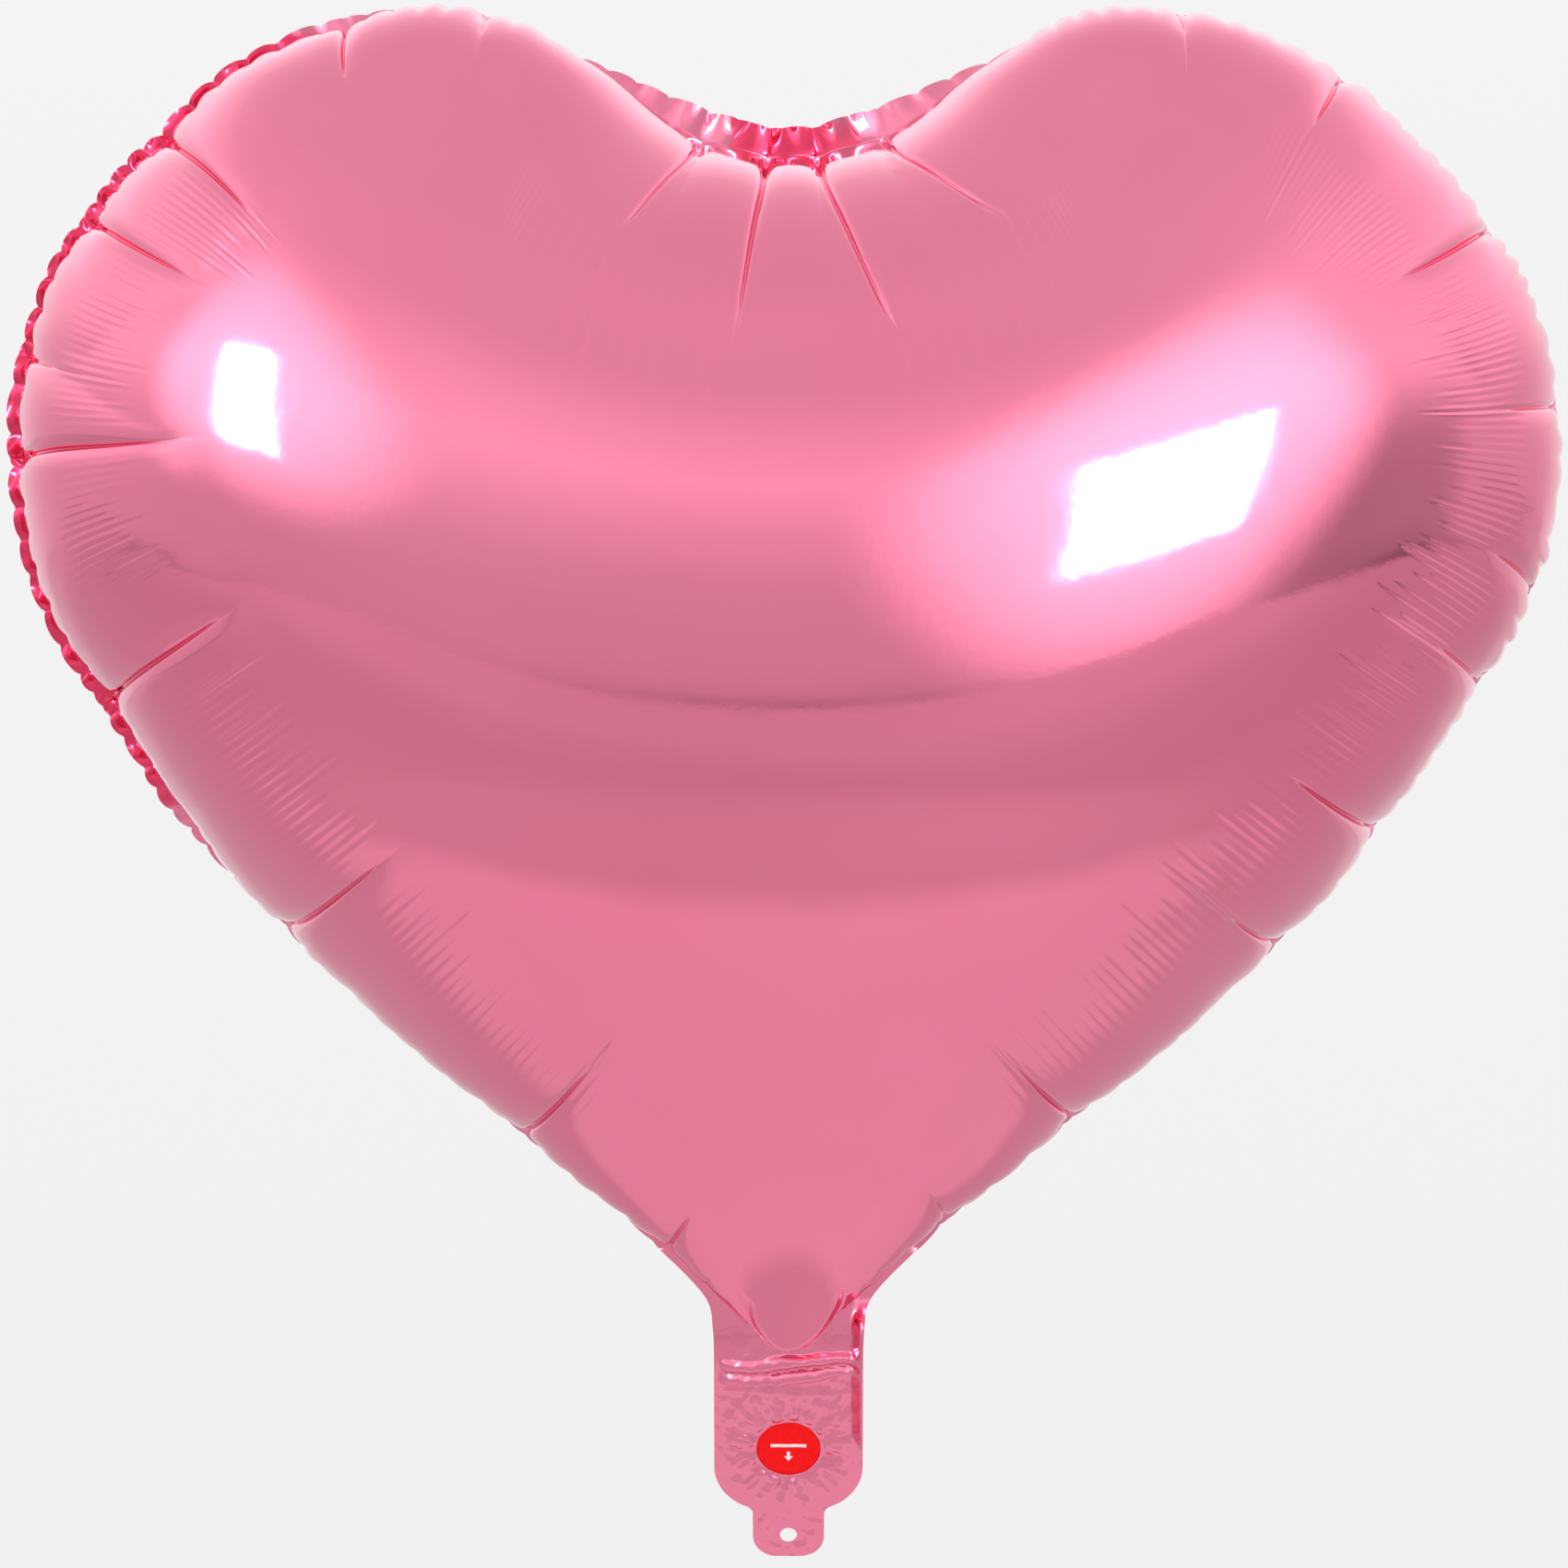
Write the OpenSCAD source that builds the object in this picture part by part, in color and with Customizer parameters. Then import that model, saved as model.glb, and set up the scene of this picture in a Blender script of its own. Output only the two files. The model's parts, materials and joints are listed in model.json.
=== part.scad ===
// Heart-shaped foil balloon, blown up: two metallised films sealed at the rim, a folding tail
// with the filling inlet and a self-sealing valve, and a ribbon tab that folds on the tail.
// Millimetres. +Z is up, -Y is the front. The origin is the middle of the fold at the neck.
// Films are drawn thicker than the real ones, which are a few hundredths of a millimetre.

/* [Heart] */
// Half the distance between the centres of the two lobes
lobe_x = 85; // [78:1:90]
// Height of the lobe centres above the neck fold
lobe_z = 225; // [215:1:235]
// Radius of each lobe
lobe_r = 104; // [98:1:108]
// Height of the notch's lowest point above the neck fold
notch_z = 301; // [296:1:306]
// Radius of the long, nearly straight lower sides
side_r = 900; // [700:50:1500]
// Distance from front crown to back crown
thickness = 204; // [180:2:230]
// Height of the two crowns, where the heart is thickest
crown_z = 192; // [185:1:200]
// Width of the flat heat seal round the heart
seal_w = 4; // [3:0.5:5]

/* [Films] */
// Thickness of a foil film
film_t = 0.35; // [0.3:0.05:0.5]
// Room left on each side of the seam plane for a valve film
pocket_t = 0.4; // [0.4:0.05:0.5]
// Thickness of a valve film
valve_t = 0.15; // [0.1:0.05:0.2]
// Width of the valve, sealed to the foil along both edges
valve_w = 27.4; // [24:0.1:27.4]
// Height that the valve's free lips reach above the neck fold
lip_top = 62; // [40:1:80]

/* [Tail] */
// Width of the neck and of the tail
tail_w = 36.5; // [36:0.5:40]
// Distance from the neck fold to the tab fold
tail_len = 50; // [48:1:56]
// Radius of the tail's lower corners
tail_corner_r = 12; // [9:1:14]
// Angle at which the tail rests, leaning back out of the seam plane
tail_tilt = 33; // [0:1:60]
// Distance from the neck fold to the middle of the inlet
inlet_drop = 30.3; // [28:0.1:32]
// Radius of the inlet hole in the front foil
inlet_r = 7.9; // [6:0.1:8.5]
// Distance from the neck fold to the closed end of the valve
valve_drop = 42; // [41:1:44]

/* [Ribbon tab] */
// Width of the tab
tab_w = 17.5; // [15:0.5:20]
// Length of the tab below its fold
tab_len = 13; // [12:0.5:16]
// Radius of the tab's lower corners
tab_corner_r = 6; // [4:0.5:7]
// Distance from the tab fold to the middle of the ribbon hole
hole_drop = 6.5; // [5.5:0.5:7.5]
// Radius of the ribbon hole
hole_r = 2.1; // [1.5:0.1:3]

/* [Hidden] */
$fn = 64;

foil_pink = [0.91, 0.49, 0.61];
valve_clear = [0.86, 0.88, 0.90, 0.5];
mark_red = [0.93, 0.07, 0.08];

// Each fold turns in a gap this far above and below its axis
fold_gap = 1.2;
// The seal's straight run beside the neck ends at this height
neck_top = 8;
// Distance between each valve film and the seam plane
valve_lift = 0.05;
// The mark is printed wider than the hole, so that no clear film shows round it
mark_r = inlet_r + 0.7;
mark_t = 0.1;
// Share of the neck's width, from the middle, over which the valve channel is open
channel_share = 0.97;
// Extra length that lets a cut run clear through a film
cut = 1;

stack_t = film_t + pocket_t;
neck_half = tail_w / 2;

// Number of points on each arc of half the outline, and of rings from the rim to the crown
side_steps = 8;
lobe_steps = 16;
notch_steps = 4;
rings = 10;

// --- Outline of the heart in the seam plane, as (x, z) points, counterclockwise from the neck ---

function angle_of(v) = atan2(v[1], v[0]);

function arc(centre, r, from, to, steps) =
    [for (k = [0:steps - 1]) let (a = from + (to - from) * k / steps)
        centre + r * [cos(a), sin(a)]];

lobe_c = [lobe_x, lobe_z];

// The notch arc touches both lobes from outside
notch_rise = notch_z - lobe_z;
notch_r = (lobe_x ^ 2 + notch_rise ^ 2 - lobe_r ^ 2) / (2 * (lobe_r - notch_rise));
notch_c = [0, notch_z + notch_r];

// The side arc touches the lobe from inside and starts at the top of the neck
neck_corner = [neck_half, neck_top];
reach = norm(neck_corner - lobe_c);
toward = (neck_corner - lobe_c) / reach;
along = ((side_r - lobe_r) ^ 2 - side_r ^ 2 + reach ^ 2) / (2 * reach);
across = sqrt((side_r - lobe_r) ^ 2 - along ^ 2);
side_c = lobe_c + along * toward + across * [toward[1], -toward[0]];
touch = angle_of(lobe_c - side_c);

// Where the side arc, drawn inset, meets the neck's own edge
function neck_edge(inset) =
    let (x = neck_half - inset, r = side_r - inset)
    [x, side_c[1] - sqrt(r ^ 2 - (x - side_c[0]) ^ 2)];

function half_outline(inset) = concat(
    [[neck_half - inset, fold_gap + inset]],
    arc(side_c, side_r - inset, angle_of(neck_edge(inset) - side_c), touch, side_steps),
    arc(lobe_c, lobe_r - inset, touch, angle_of(notch_c - lobe_c), lobe_steps),
    arc(notch_c, notch_r + inset, angle_of(lobe_c - notch_c), -90, notch_steps));

function mirrored(points) =
    [for (k = [len(points) - 1:-1:0]) [-points[k][0], points[k][1]]];

// The points across the neck's lower edge come first: the valve channel is open there
channel_steps = 4;
channel_points = channel_steps + 1;

function outline(inset) =
    let (right = half_outline(inset))
    concat(
        [for (k = [0:channel_steps])
            [channel_share * (neck_half - inset) * (2 * k / channel_steps - 1), fold_gap + inset]],
        right,
        [[0, notch_z - inset]],
        mirrored(right));

function pocket_at(index) = index < channel_points ? pocket_t : 0;

// --- Shell of one foil panel ---

// One ring of the dome: angle 0 is the rim and 90 is the crown
function dome_ring(inset, rise, base, angle) =
    let (loop = outline(inset))
    [for (i = [0:len(loop) - 1])
        let (x = loop[i][0] * cos(angle), z = crown_z + (loop[i][1] - crown_z) * cos(angle))
        [x, -(pocket_at(i) + base) * cos(angle) - rise * sin(angle), z]];

// The flat seal, the dome's rings and the crown point, from the outer edge inward
function skin(inset, rise, base) = concat(
    [for (i = [0:len(outline(0)) - 1]) let (p = outline(0)[i])
        [p[0], -(pocket_at(i) + base), p[1]]],
    [for (k = [0:rings - 1]) each dome_ring(inset, rise, base, 90 * k / rings)],
    [[0, -rise, crown_z]]);

function skin_faces(count, first) = concat(
    [for (k = [0:rings - 1], i = [0:count - 1])
        let (a = first + k * count + i, b = first + k * count + (i + 1) % count)
        each [[a, a + count, b], [b, a + count, b + count]]],
    [for (i = [0:count - 1])
        [first + rings * count + i, first + (rings + 1) * count,
         first + rings * count + (i + 1) % count]]);

function flipped(faces) = [for (f = faces) [f[2], f[1], f[0]]];

module foil_panel() {
    count = len(outline(0));
    outer = skin(seal_w, thickness / 2, film_t);
    inner = skin(seal_w + film_t, thickness / 2 - film_t, 0);
    edge = [for (i = [0:count - 1])
        let (j = (i + 1) % count, below = len(outer))
        each [[i, j, below + i], [j, below + j, below + i]]];
    polyhedron(
        concat(outer, inner),
        concat(skin_faces(count, 0), flipped(skin_faces(count, len(outer))), edge));
}

module front_foil_panel() color(foil_pink) foil_panel();

module back_foil_panel() color(foil_pink) mirror([0, 1, 0]) foil_panel();

// --- Films of the tail, the valve and the tab, drawn hanging straight down ---

// Stands a flat outline up in the x-z plane, from the depth `from` forward by `t`
module film(from, t) translate([0, -from, 0]) rotate([90, 0, 0]) linear_extrude(t) children();

// A strip with square upper corners and round lower ones
module tongue(w, top, bottom, corner_r) {
    translate([-w / 2, bottom + corner_r]) square([w, top - bottom - corner_r]);
    translate([-w / 2 + corner_r, bottom]) square([w - 2 * corner_r, corner_r]);
    for (side = [-1, 1])
        translate([side * (w / 2 - corner_r), bottom + corner_r]) circle(corner_r);
}

module at_tail() rotate([tail_tilt, 0, 0]) children();

module tail_outline() tongue(tail_w, -fold_gap, fold_gap - tail_len, tail_corner_r);

module tail_half() difference() {
    film(0, stack_t) tail_outline();
    translate([-valve_w / 2, -pocket_t, -valve_drop]) cube([valve_w, pocket_t + cut, valve_drop]);
}

module tail_front_foil() color(foil_pink) at_tail() difference() {
    tail_half();
    translate([0, cut, -inlet_drop]) rotate([90, 0, 0]) cylinder(r = inlet_r, h = stack_t + 2 * cut);
}

module tail_back_foil() color(foil_pink) at_tail() mirror([0, 1, 0]) tail_half();

module valve_strip()
    film(valve_lift, valve_t)
        translate([-valve_w / 2, -valve_drop]) square([valve_w, valve_drop - fold_gap]);

module valve_front_strip() color(valve_clear) at_tail() valve_strip();

module valve_back_strip() color(valve_clear) at_tail() mirror([0, 1, 0]) valve_strip();

module inlet_mark() color(mark_red) at_tail()
    translate([0, -valve_lift - valve_t, -inlet_drop])
        rotate([90, 0, 0]) cylinder(r = mark_r, h = mark_t);

// The lips stand inside the heart and clear the edges of the valve channel
lip_w = 2 * (neck_half - seal_w - film_t) * channel_share - 0.6;

module valve_lip()
    film(valve_lift, valve_t)
        translate([-lip_w / 2, fold_gap]) square([lip_w, lip_top - fold_gap]);

module valve_front_lip() color(valve_clear) valve_lip();

module valve_back_lip() color(valve_clear) mirror([0, 1, 0]) valve_lip();

module tab_half() difference() {
    film(0, stack_t) tongue(tab_w, -tail_len - fold_gap, -tail_len - tab_len, tab_corner_r);
    translate([0, cut, -tail_len - hole_drop])
        rotate([90, 0, 0]) cylinder(r = hole_r, h = stack_t + 2 * cut);
}

module tab_front_foil() color(foil_pink) at_tail() tab_half();

module tab_back_foil() color(foil_pink) at_tail() mirror([0, 1, 0]) tab_half();

front_foil_panel();
back_foil_panel();
valve_front_lip();
valve_back_lip();
tail_front_foil();
tail_back_foil();
valve_front_strip();
valve_back_strip();
inlet_mark();
tab_front_foil();
tab_back_foil();
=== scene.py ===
"""Heart-shaped foil balloon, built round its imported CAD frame. Metres, +Z up, the front is -Y.

The heart is two flat films sealed at the rim. They are blown up here by a small solver that lets the
film pucker but not stretch, and its smooth result then gets the seal's gathers, creases and ripples.
"""
import json
import math
import bpy
import numpy as np
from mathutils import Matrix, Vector
from mathutils.geometry import delaunay_2d_cdt
from mathutils.kdtree import KDTree


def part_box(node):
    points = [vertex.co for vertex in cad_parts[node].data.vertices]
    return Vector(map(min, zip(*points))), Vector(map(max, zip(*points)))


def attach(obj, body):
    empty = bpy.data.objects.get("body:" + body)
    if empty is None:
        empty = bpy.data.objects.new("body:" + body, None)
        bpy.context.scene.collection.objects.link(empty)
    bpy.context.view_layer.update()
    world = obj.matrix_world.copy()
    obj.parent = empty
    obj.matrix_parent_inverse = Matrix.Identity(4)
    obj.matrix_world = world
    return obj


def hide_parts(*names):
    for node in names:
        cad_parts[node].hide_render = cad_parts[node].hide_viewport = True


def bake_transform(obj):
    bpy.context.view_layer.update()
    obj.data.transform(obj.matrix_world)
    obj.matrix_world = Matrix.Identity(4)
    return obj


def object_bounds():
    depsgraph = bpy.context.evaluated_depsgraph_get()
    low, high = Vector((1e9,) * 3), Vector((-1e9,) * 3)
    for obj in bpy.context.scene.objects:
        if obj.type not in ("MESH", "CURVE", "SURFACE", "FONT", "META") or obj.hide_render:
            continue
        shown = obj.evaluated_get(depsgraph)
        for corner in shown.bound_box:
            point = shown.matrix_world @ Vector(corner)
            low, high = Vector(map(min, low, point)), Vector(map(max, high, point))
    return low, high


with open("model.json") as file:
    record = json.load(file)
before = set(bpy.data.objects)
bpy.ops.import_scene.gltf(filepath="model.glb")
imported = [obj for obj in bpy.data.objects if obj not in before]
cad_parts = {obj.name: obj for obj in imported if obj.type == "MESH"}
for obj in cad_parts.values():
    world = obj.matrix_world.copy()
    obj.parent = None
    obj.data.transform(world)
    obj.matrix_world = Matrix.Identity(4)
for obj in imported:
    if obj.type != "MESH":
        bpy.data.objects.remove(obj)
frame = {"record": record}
cad_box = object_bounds()
MM = 0.001

# --- places taken from the frame

ENVELOPE, TAIL, TAB = "envelope", "tail", "ribbon_tab"
strip_low, strip_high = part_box("valve_front_strip")
tab_low, tab_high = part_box("tab_back_foil")
HEART_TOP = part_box("front_foil_panel")[1].z
TAIL_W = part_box("tail_back_foil")[1].x * 2
joints = {j["name"]: j for j in frame["record"]["behaviour"]["joints"]}
mounts = {m["name"]: m for m in frame["record"]["mounts"]}
CROWN_Z = mounts["tape_point"]["pos_m"][2]
tab_axis = Vector(joints["tab_fold"]["pos_m"])
TAIL_LEN = tab_axis.length
TAIL_TILT = math.atan2(-tab_axis.y, -tab_axis.z)
DOWN = np.array([0, -math.sin(TAIL_TILT), -math.cos(TAIL_TILT)])
INLET_DROP = Vector(mounts["inlet"]["pos_m"]).dot(Vector(DOWN))
INLET_R = mounts["inlet"]["dims"]["r_mm"] * MM
HOLE_DROP = Vector(mounts["ribbon_hole"]["pos_m"]).dot(Vector(DOWN))
HOLE_R = mounts["ribbon_hole"]["dims"]["r_mm"] * MM
TAB_W = tab_high.x * 2
TAIL_END = -tab_low.z / math.cos(TAIL_TILT)
STRIP_HALF = strip_high.x
STRIP_END = -strip_low.z / math.cos(TAIL_TILT)

# --- camera, light and stage

CAMERA_DISTANCE = 3.8
# Width of the view at the balloon, and how far the camera stands to the left of its middle
VIEW_WIDTH = 0.3835
VIEW_SHIFT = 1.1 * MM

# Softboxes: name, place, size and power in watts
SOFTBOXES = (("key_left", (-2.0, -1.5, 1.1), (0.4, 0.8), 14),
             ("key_right", (1.25, -1.80, 0.68), (0.7, 0.7), 16))

# The room's brightness, from straight down at 0 through level at 0.5 to straight up at 1
ROOM_SHADES = ((0.00, 0.56), (0.38, 0.56), (0.408, 0.55), (0.418, 0.80), (0.45, 0.87), (0.51, 0.89),
               (0.57, 0.94), (0.64, 1.12), (0.72, 1.36), (0.80, 1.18), (0.88, 0.94), (1.00, 0.80))

# Shading of the side walls and of the wall behind the camera: where it starts and is full, as shares
# of a direction, and the light left there
SIDE_WALLS = (0.55, 0.95, 0.85)
FRONT_WALL = (0.25, 0.90, 0.80)

# Direction, spread in degrees and strength of the lamps' glows and of the unlit corner on the right
GLOWS = (((-2.0, -1.5, 1.0), 24, 0.9),
         ((1.25, -1.80, 0.55), 32, 1.1),
         ((0.92, -0.35, -0.05), 26, -0.25))

FLOOR_DROP = 1.2
FLOOR_SIZE = 14.0
# Painted light and shade on the floor: colours at distances in metres from the place under the balloon,
# along y. A painted pool of light lies under it, a painted darker ring round that, and lighter floor far
# off.
# Across, the same shades lie further out, and noise shifts them a little.
FLOOR_PAINTED_LIGHT = ((0.62, (0.67, 0.65, 0.65)), (0.82, (0.53, 0.51, 0.51)), (3.2, (0.55, 0.53, 0.53)),
                (4.8, (0.64, 0.62, 0.62)))
FLOOR_OVAL = (0.45, 1, 1)
FLOOR_NOISE = 0.25


def placed(name, data):
    """Puts a new object with this data into the scene."""
    obj = bpy.data.objects.new(name, data)
    bpy.context.scene.collection.objects.link(obj)
    return obj


def add_camera():
    """A far view from the front, level with the balloon's middle, that the balloon fills."""
    low, high = (Vector(c) for c in cad_box)
    centre = (low + high) / 2
    data = bpy.data.cameras.new("camera")
    cam = placed("camera", data)
    cam.location = (centre.x - VIEW_SHIFT, -CAMERA_DISTANCE, centre.z)
    cam.rotation_euler = (math.pi / 2, 0, 0)
    data.sensor_width = 36
    data.lens = data.sensor_width * CAMERA_DISTANCE / VIEW_WIDTH
    bpy.context.scene.camera = cam


def add_softbox(name, place, size, power):
    """A soft rectangular lamp, turned to the heart's middle."""
    data = bpy.data.lights.new(name, "AREA")
    data.shape = "RECTANGLE"
    data.size, data.size_y = size
    data.energy = power
    light = placed(name, data)
    light.location = place
    toward = Vector((0, 0, HEART_TOP / 2)) - light.location
    light.rotation_euler = toward.to_track_quat("-Z", "Y").to_euler()


def wired(tree, kind, *values, **settings):
    """A new node with these settings, its inputs fed in order from sockets or plain values."""
    node = tree.nodes.new("ShaderNode" + kind)
    for name, value in settings.items():
        setattr(node, name, value)
    for socket, value in zip(node.inputs, values):
        if isinstance(value, bpy.types.NodeSocket):
            tree.links.new(value, socket)
        else:
            socket.default_value = value
    return node


def feed(node, **values):
    """Sets a node's inputs by name, with _ for a space."""
    for name, value in values.items():
        node.inputs[name.replace("_", " ")].default_value = value


def mapped(tree, value, source, target, kind="LINEAR"):
    """The socket of a value mapped from one range to another and clamped."""
    return wired(tree, "MapRange", value, *source, *target, interpolation_type=kind).outputs[0]


def mixed(tree, first, second, kind):
    """The socket of two colours combined at full strength."""
    node = wired(tree, "Mix", data_type="RGBA", blend_type=kind)
    feed(node, Factor=1)
    tree.links.new(first, node.inputs["A"])
    tree.links.new(second, node.inputs["B"])
    return node.outputs["Result"]


def colour_ramp(tree, value, stops):
    """The colour socket of a value sent through a ramp of (place, grey or colour) stops."""
    node = wired(tree, "ValToRGB", value)
    points = node.color_ramp.elements
    points[0].position, points[1].position = stops[0][0], stops[-1][0]
    for place, _ in stops[1:-1]:
        points.new(place)
    for point, (_, color) in zip(points, stops):
        point.color = (*color, 1) if isinstance(color, tuple) else (color, color, color, 1)
    return node.outputs["Color"]


def add_world():
    """A pale room, shaded by height, darker at the sides and in front, with glows by the lamps."""
    world = bpy.data.worlds.new("studio")
    bpy.context.scene.world = world
    world.use_nodes = True
    tree = world.node_tree
    tree.nodes.clear()
    direction = wired(tree, "TexCoord").outputs["Generated"]
    split = wired(tree, "SeparateXYZ", direction).outputs
    light = colour_ramp(tree, mapped(tree, split["Z"], (-1, 1), (0, 1)), ROOM_SHADES)
    aside = wired(tree, "Math", split["X"], operation="ABSOLUTE").outputs[0]
    front = wired(tree, "Math", split["Y"], -1, operation="MULTIPLY").outputs[0]
    for wall, (start, full, left) in ((aside, SIDE_WALLS), (front, FRONT_WALL)):
        shade = mapped(tree, wall, (start, full), (1, left), "SMOOTHSTEP")
        light = mixed(tree, light, shade, "MULTIPLY")
    for towards, spread, power in GLOWS:
        towards = Vector(towards).normalized()
        dot = wired(tree, "VectorMath", direction, towards, operation="DOT_PRODUCT")
        edge = math.cos(math.radians(spread))
        glow = mapped(tree, dot.outputs["Value"], (edge, 1), (0, power), "SMOOTHERSTEP")
        light = mixed(tree, light, glow, "ADD")
    background = wired(tree, "Background", light).outputs[0]
    wired(tree, "OutputWorld", background)


# --- materials


class Shader:
    """A material's Principled shader, with short ways to feed it."""

    def __init__(self, name, color, metallic, roughness, **sockets):
        self.material = bpy.data.materials.new(name)
        self.material.use_nodes = True
        self.tree = self.material.node_tree
        self.shader = self.tree.nodes["Principled BSDF"]
        feed(self.shader, Base_Color=(*color, 1), Metallic=metallic, Roughness=roughness, **sockets)
        self.coords = wired(self.tree, "TexCoord").outputs["Object"]

    def noise(self, scale, detail):
        node = wired(self.tree, "TexNoise", self.coords)
        feed(node, Scale=scale, Detail=detail)
        return node.outputs["Fac"]

    def ramp(self, value, stops, socket):
        """Sends a value through a colour ramp into one of the shader's sockets."""
        self.tree.links.new(colour_ramp(self.tree, value, stops), self.shader.inputs[socket])

    def bump(self, height, strength, distance):
        node = wired(self.tree, "Bump")
        feed(node, Strength=strength, Distance=distance)
        self.tree.links.new(height, node.inputs["Height"])
        self.tree.links.new(node.outputs["Normal"], self.shader.inputs["Normal"])


def foil_material():
    """Vacuum-metallised film under a clear pink lacquer."""
    foil = Shader("pink_foil", (0.93, 0.24, 0.38), 1.0, 0.07, Coat_Weight=0.25, Coat_Roughness=0.05)
    foil.ramp(foil.noise(9.0, 3.0), ((0.35, (0.92, 0.23, 0.37)), (0.65, (0.94, 0.255, 0.395))), "Base Color")
    foil.ramp(foil.noise(55.0, 4.0), ((0.30, 0.055), (0.70, 0.095)), "Roughness")
    foil.bump(foil.noise(420.0, 3.0), 0.05, 0.0002)
    return foil.material


def ink_material(name, color):
    """Matt printing ink, slightly uneven."""
    ink = Shader(name, color, 0.0, 0.42, Specular_IOR_Level=0.12)
    speck = ink.noise(900.0, 3.0)
    darker = tuple(c * 0.9 for c in color)
    ink.ramp(speck, ((0.35, darker), (0.65, color)), "Base Color")
    ink.bump(speck, 0.15, 0.0001)
    return ink.material


def valve_material():
    """Clear, slightly cloudy film."""
    film = Shader("valve_film", (0.86, 0.88, 0.90), 0.0, 0.18, Alpha=0.5, IOR=1.5)
    film.ramp(film.noise(160.0, 3.0), ((0.3, 0.12), (0.7, 0.28)), "Roughness")
    film.bump(film.noise(240.0, 2.0), 0.2, 0.0002)
    return film.material


def floor_material():
    """A pale floor with painted light and shade: a painted pool of light under the balloon, lighter again
    far off, and painted darker shade in the oval between.
    """
    floor = Shader("pale_floor_painted_light", FLOOR_PAINTED_LIGHT[0][1], 0.0, 0.6)
    tree = floor.tree
    oval = wired(tree, "VectorMath", floor.coords, FLOOR_OVAL, operation="MULTIPLY")
    away = wired(tree, "VectorMath", oval.outputs["Vector"], operation="LENGTH")
    uneven = wired(tree, "Math", floor.noise(0.8, 3.0), FLOOR_NOISE, away.outputs["Value"],
                   operation="MULTIPLY_ADD")
    half = FLOOR_SIZE / 2
    share = wired(tree, "Math", uneven.outputs[0], half, operation="DIVIDE")
    # The ramp paints the pool of light and the darker ring into the floor's base colour
    floor.ramp(share.outputs[0], [(place / half, color) for place, color in FLOOR_PAINTED_LIGHT], "Base Color")
    return floor.material


# --- flat pattern of the heart


def smoothstep(t):
    t = np.clip(t, 0, 1)
    return t * t * (3 - 2 * t)


def angle_of(v):
    return math.atan2(v[1], v[0])


def arc(centre, r, start, end, steps):
    """Points on an arc from one angle to another, without the last one."""
    t = start + (end - start) * np.arange(steps) / steps
    return centre + r * np.stack([np.cos(t), np.sin(t)], 1)


def flat_heart():
    """The seal's inner line on the flat films, as a closed loop counterclockwise from the neck.

    Each half is a side arc, a lobe arc and a notch arc, tangent to one another."""
    lobe = np.array([90, 219]) * MM
    lobe_r, side_r, notch_z = 144 * MM, 380 * MM, 347 * MM
    neck = np.array([17, -34]) * MM
    rise = notch_z - lobe[1]
    notch_r = (lobe[0] ** 2 + rise ** 2 - lobe_r ** 2) / (2 * (lobe_r - rise))
    notch = np.array([0, notch_z + notch_r])
    reach = np.linalg.norm(neck - lobe)
    toward = (neck - lobe) / reach
    along = ((side_r - lobe_r) ** 2 - side_r ** 2 + reach ** 2) / (2 * reach)
    across = math.sqrt((side_r - lobe_r) ** 2 - along ** 2)
    side = lobe + along * toward + across * np.array([toward[1], -toward[0]])
    touch = angle_of(lobe - side)
    heel = angle_of(neck - side)
    foot_r = neck[0] / math.cos(heel)
    foot = np.array([0, neck[1] - foot_r * math.sin(heel)])
    right = np.vstack([
        arc(foot, foot_r, -math.pi / 2, heel, 12)[1:],
        arc(side, side_r, angle_of(neck - side), touch, 80),
        arc(lobe, lobe_r, touch, angle_of(notch - lobe), 120),
        arc(notch, notch_r, angle_of(lobe - notch), -math.pi / 2, 40)])
    return np.vstack([[foot - [0, foot_r]], right, [[0, notch_z]], (right * [-1, 1])[::-1]])


def resample(loop, count):
    """Evenly spaced points on a closed loop, starting at its first point."""
    closed = np.vstack([loop, loop[:1]])
    lengths = np.hypot(*np.diff(closed, axis=0).T)
    at = np.concatenate([[0], np.cumsum(lengths)])
    u = np.linspace(0, at[-1], count, endpoint=False)
    return np.stack([np.interp(u, at, closed[:, k]) for k in (0, 1)], 1)


def perimeter(loop):
    return np.hypot(*(np.roll(loop, -1, axis=0) - loop).T).sum()


def inside(points, loop):
    """Whether each point lies inside a closed loop."""
    x, y = points[:, 0], points[:, 1]
    hit = np.zeros(len(points), bool)
    x1, y1 = loop[-1]
    for x2, y2 in loop:
        crosses = (y1 > y) != (y2 > y)
        edge_x = (x2 - x1) * (y - y1) / (y2 - y1 if y2 != y1 else 1) + x1
        hit ^= crosses & (x < edge_x)
        x1, y1 = x2, y2
    return hit


def nearest_on_loop(points, loop):
    """Distance to a closed loop, and the loop's nearest point."""
    best = np.full(len(points), 1e9)
    foot = np.zeros((len(points), 2))
    for a, b in zip(loop, np.roll(loop, -1, axis=0)):
        ab = b - a
        t = np.clip(((points - a) @ ab) / (ab @ ab), 0, 1)
        q = a + t[:, None] * ab
        d = np.hypot(*(points - q).T)
        near = d < best
        best[near] = d[near]
        foot[near] = q[near]
    return best, foot


def loop_distance(points, loop):
    return nearest_on_loop(points, loop)[0]


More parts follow.
